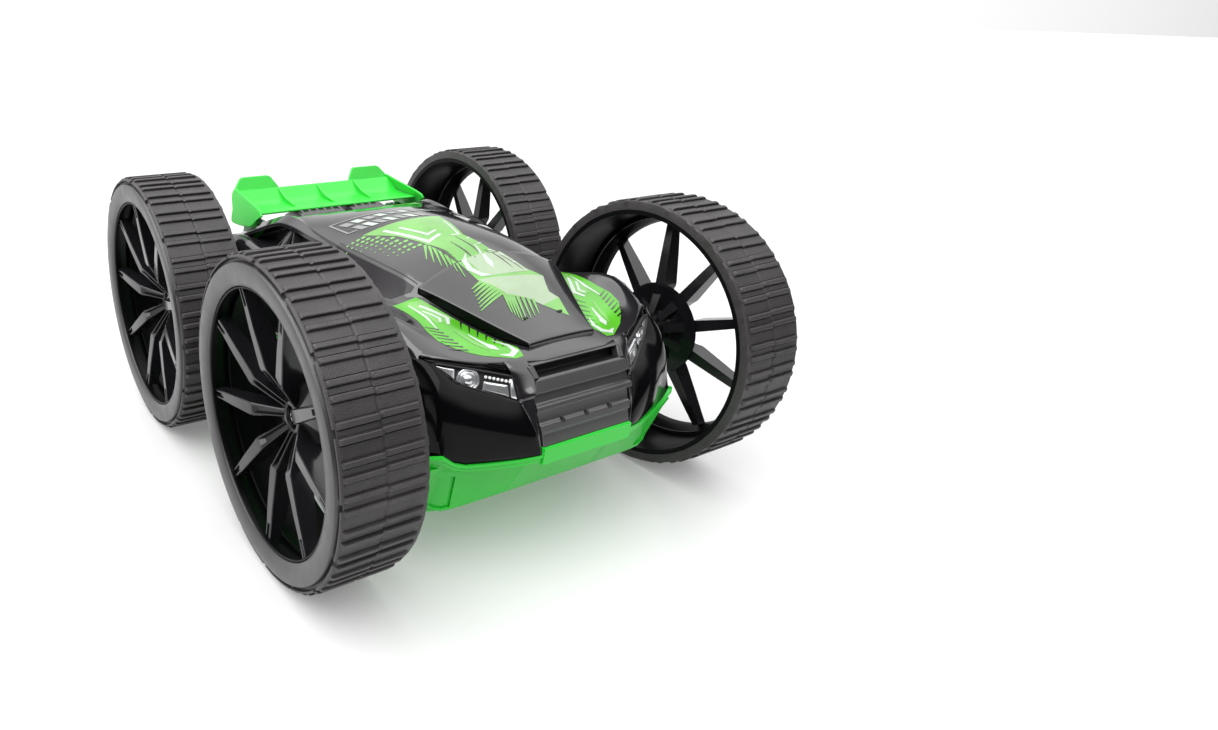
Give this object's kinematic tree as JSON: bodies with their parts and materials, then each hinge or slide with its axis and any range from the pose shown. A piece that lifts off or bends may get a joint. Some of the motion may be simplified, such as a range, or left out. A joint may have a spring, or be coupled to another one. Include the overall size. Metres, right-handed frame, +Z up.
{
  "type": "remote control stunt car",
  "caption": "Low car body between large open-spoke paddle wheels, with a rear wing, geared twin-motor rear drive, battery hatch and slide switch.",
  "frame": {"origin": "on the ground under the middle of the car, half-way between the axles and between the left and right wheels", "axes": "+X towards the car's own left side, +Y towards its tail (the nose points to -Y), +Z up"},
  "size_m": [0.2312, 0.2788, 0.13],
  "materials": {
    "tyre": "matte moulded",
    "rim_plastic": "gloss",
    "steel": "satin",
    "green_plastic": "semi-gloss",
    "black_gloss": "high gloss",
    "dark_plastic": "satin",
    "lamp": "metallised",
    "bush": "sintered",
    "case_plastic": "satin",
    "gear_plastic": "satin",
    "brass": "bright",
    "motor_steel": "plated",
    "cell": "gloss sleeve",
    "board": "solder mask",
    "chip": "matte",
    "switch": "matte"
  },
  "bodies": {
    "chassis": {"lower_shell": "green_plastic", "upper_shell": "black_gloss", "front_grille": "dark_plastic", "headlamp_left": "lamp", "headlamp_right": "lamp", "side_louvre_left": "dark_plastic", "side_louvre_right": "dark_plastic", "rear_deck": "dark_plastic", "rear_wing": "green_plastic", "wing_screws": "steel", "shell_screws": "steel", "front_carrier": "dark_plastic", "axle_bushes": "bush", "battery_cells": "cell", "battery_contacts": "brass", "circuit_board": "board", "board_parts": "chip", "board_standoffs": "dark_plastic", "power_switch_body": "dark_plastic", "gearbox_case_left": "case_plastic", "idler_pin_left": "steel", "motor_can_left": "motor_steel", "axle_housing_front_left": "dark_plastic", "axle_housing_rear_left": "dark_plastic", "gearbox_case_right": "case_plastic", "idler_pin_right": "steel", "motor_can_right": "motor_steel", "axle_housing_front_right": "dark_plastic", "axle_housing_rear_right": "dark_plastic"},
    "battery_hatch": {"battery_door": "green_plastic", "battery_door_screw": "steel"},
    "switch_slider": {"power_switch_knob": "switch"},
    "wheel_front_left": {"tyre_front_left": "tyre", "rim_front_left": "rim_plastic", "wheel_screw_front_left": "steel", "axle_front_left": "steel"},
    "wheel_front_right": {"tyre_front_right": "tyre", "rim_front_right": "rim_plastic", "wheel_screw_front_right": "steel", "axle_front_right": "steel"},
    "wheel_rear_left": {"tyre_rear_left": "tyre", "rim_rear_left": "rim_plastic", "wheel_screw_rear_left": "steel", "axle_rear_left": "steel", "axle_gear_left": "gear_plastic"},
    "wheel_rear_right": {"tyre_rear_right": "tyre", "rim_rear_right": "rim_plastic", "wheel_screw_rear_right": "steel", "axle_rear_right": "steel", "axle_gear_right": "gear_plastic"},
    "compound_left": {"compound_gear_left": "gear_plastic"},
    "rotor_left": {"motor_pinion_left": "brass", "motor_rotor_left": "steel"},
    "compound_right": {"compound_gear_right": "gear_plastic"},
    "rotor_right": {"motor_pinion_right": "brass", "motor_rotor_right": "steel"}
  },
  "joints": [
    {"name": "battery_hatch_hinge", "type": "hinge", "parent": "chassis", "child": "battery_hatch", "pos_m": [0, -0.0391, 0.0289], "axis": [-1, 0, 0], "range_deg": [0, 70]},
    {"name": "power_switch_slide", "type": "slide", "parent": "chassis", "child": "switch_slider", "axis": [1, 0, 0], "range_m": [0, 0.004]},
    {"name": "wheel_front_left_spin", "type": "hinge", "parent": "chassis", "child": "wheel_front_left", "pos_m": [0.0976, -0.0744, 0.065], "axis": [1, 0, 0], "continuous": true},
    {"name": "wheel_front_right_spin", "type": "hinge", "parent": "chassis", "child": "wheel_front_right", "pos_m": [-0.0976, -0.0744, 0.065], "axis": [1, 0, 0], "continuous": true},
    {"name": "wheel_rear_left_spin", "type": "hinge", "parent": "chassis", "child": "wheel_rear_left", "pos_m": [0.0976, 0.0744, 0.065], "axis": [1, 0, 0], "continuous": true},
    {"name": "wheel_rear_right_spin", "type": "hinge", "parent": "chassis", "child": "wheel_rear_right", "pos_m": [-0.0976, 0.0744, 0.065], "axis": [1, 0, 0], "continuous": true},
    {"name": "compound_left_spin", "type": "hinge", "parent": "chassis", "child": "compound_left", "pos_m": [0.04, 0.05636, 0.05843], "axis": [1, 0, 0], "continuous": true},
    {"name": "rotor_left_spin", "type": "hinge", "parent": "chassis", "child": "rotor_left", "pos_m": [0.03, 0.0409, 0.06257], "axis": [1, 0, 0], "continuous": true},
    {"name": "compound_right_spin", "type": "hinge", "parent": "chassis", "child": "compound_right", "pos_m": [-0.04, 0.05636, 0.05843], "axis": [1, 0, 0], "continuous": true},
    {"name": "rotor_right_spin", "type": "hinge", "parent": "chassis", "child": "rotor_right", "pos_m": [-0.03, 0.0409, 0.06257], "axis": [1, 0, 0], "continuous": true}
  ],
  "couplings": [
    {"joint": "compound_left_spin", "follows": "wheel_rear_left_spin", "ratio": -3},
    {"joint": "rotor_left_spin", "follows": "wheel_rear_left_spin", "ratio": 9},
    {"joint": "compound_right_spin", "follows": "wheel_rear_right_spin", "ratio": -3},
    {"joint": "rotor_right_spin", "follows": "wheel_rear_right_spin", "ratio": 9}
  ]
}
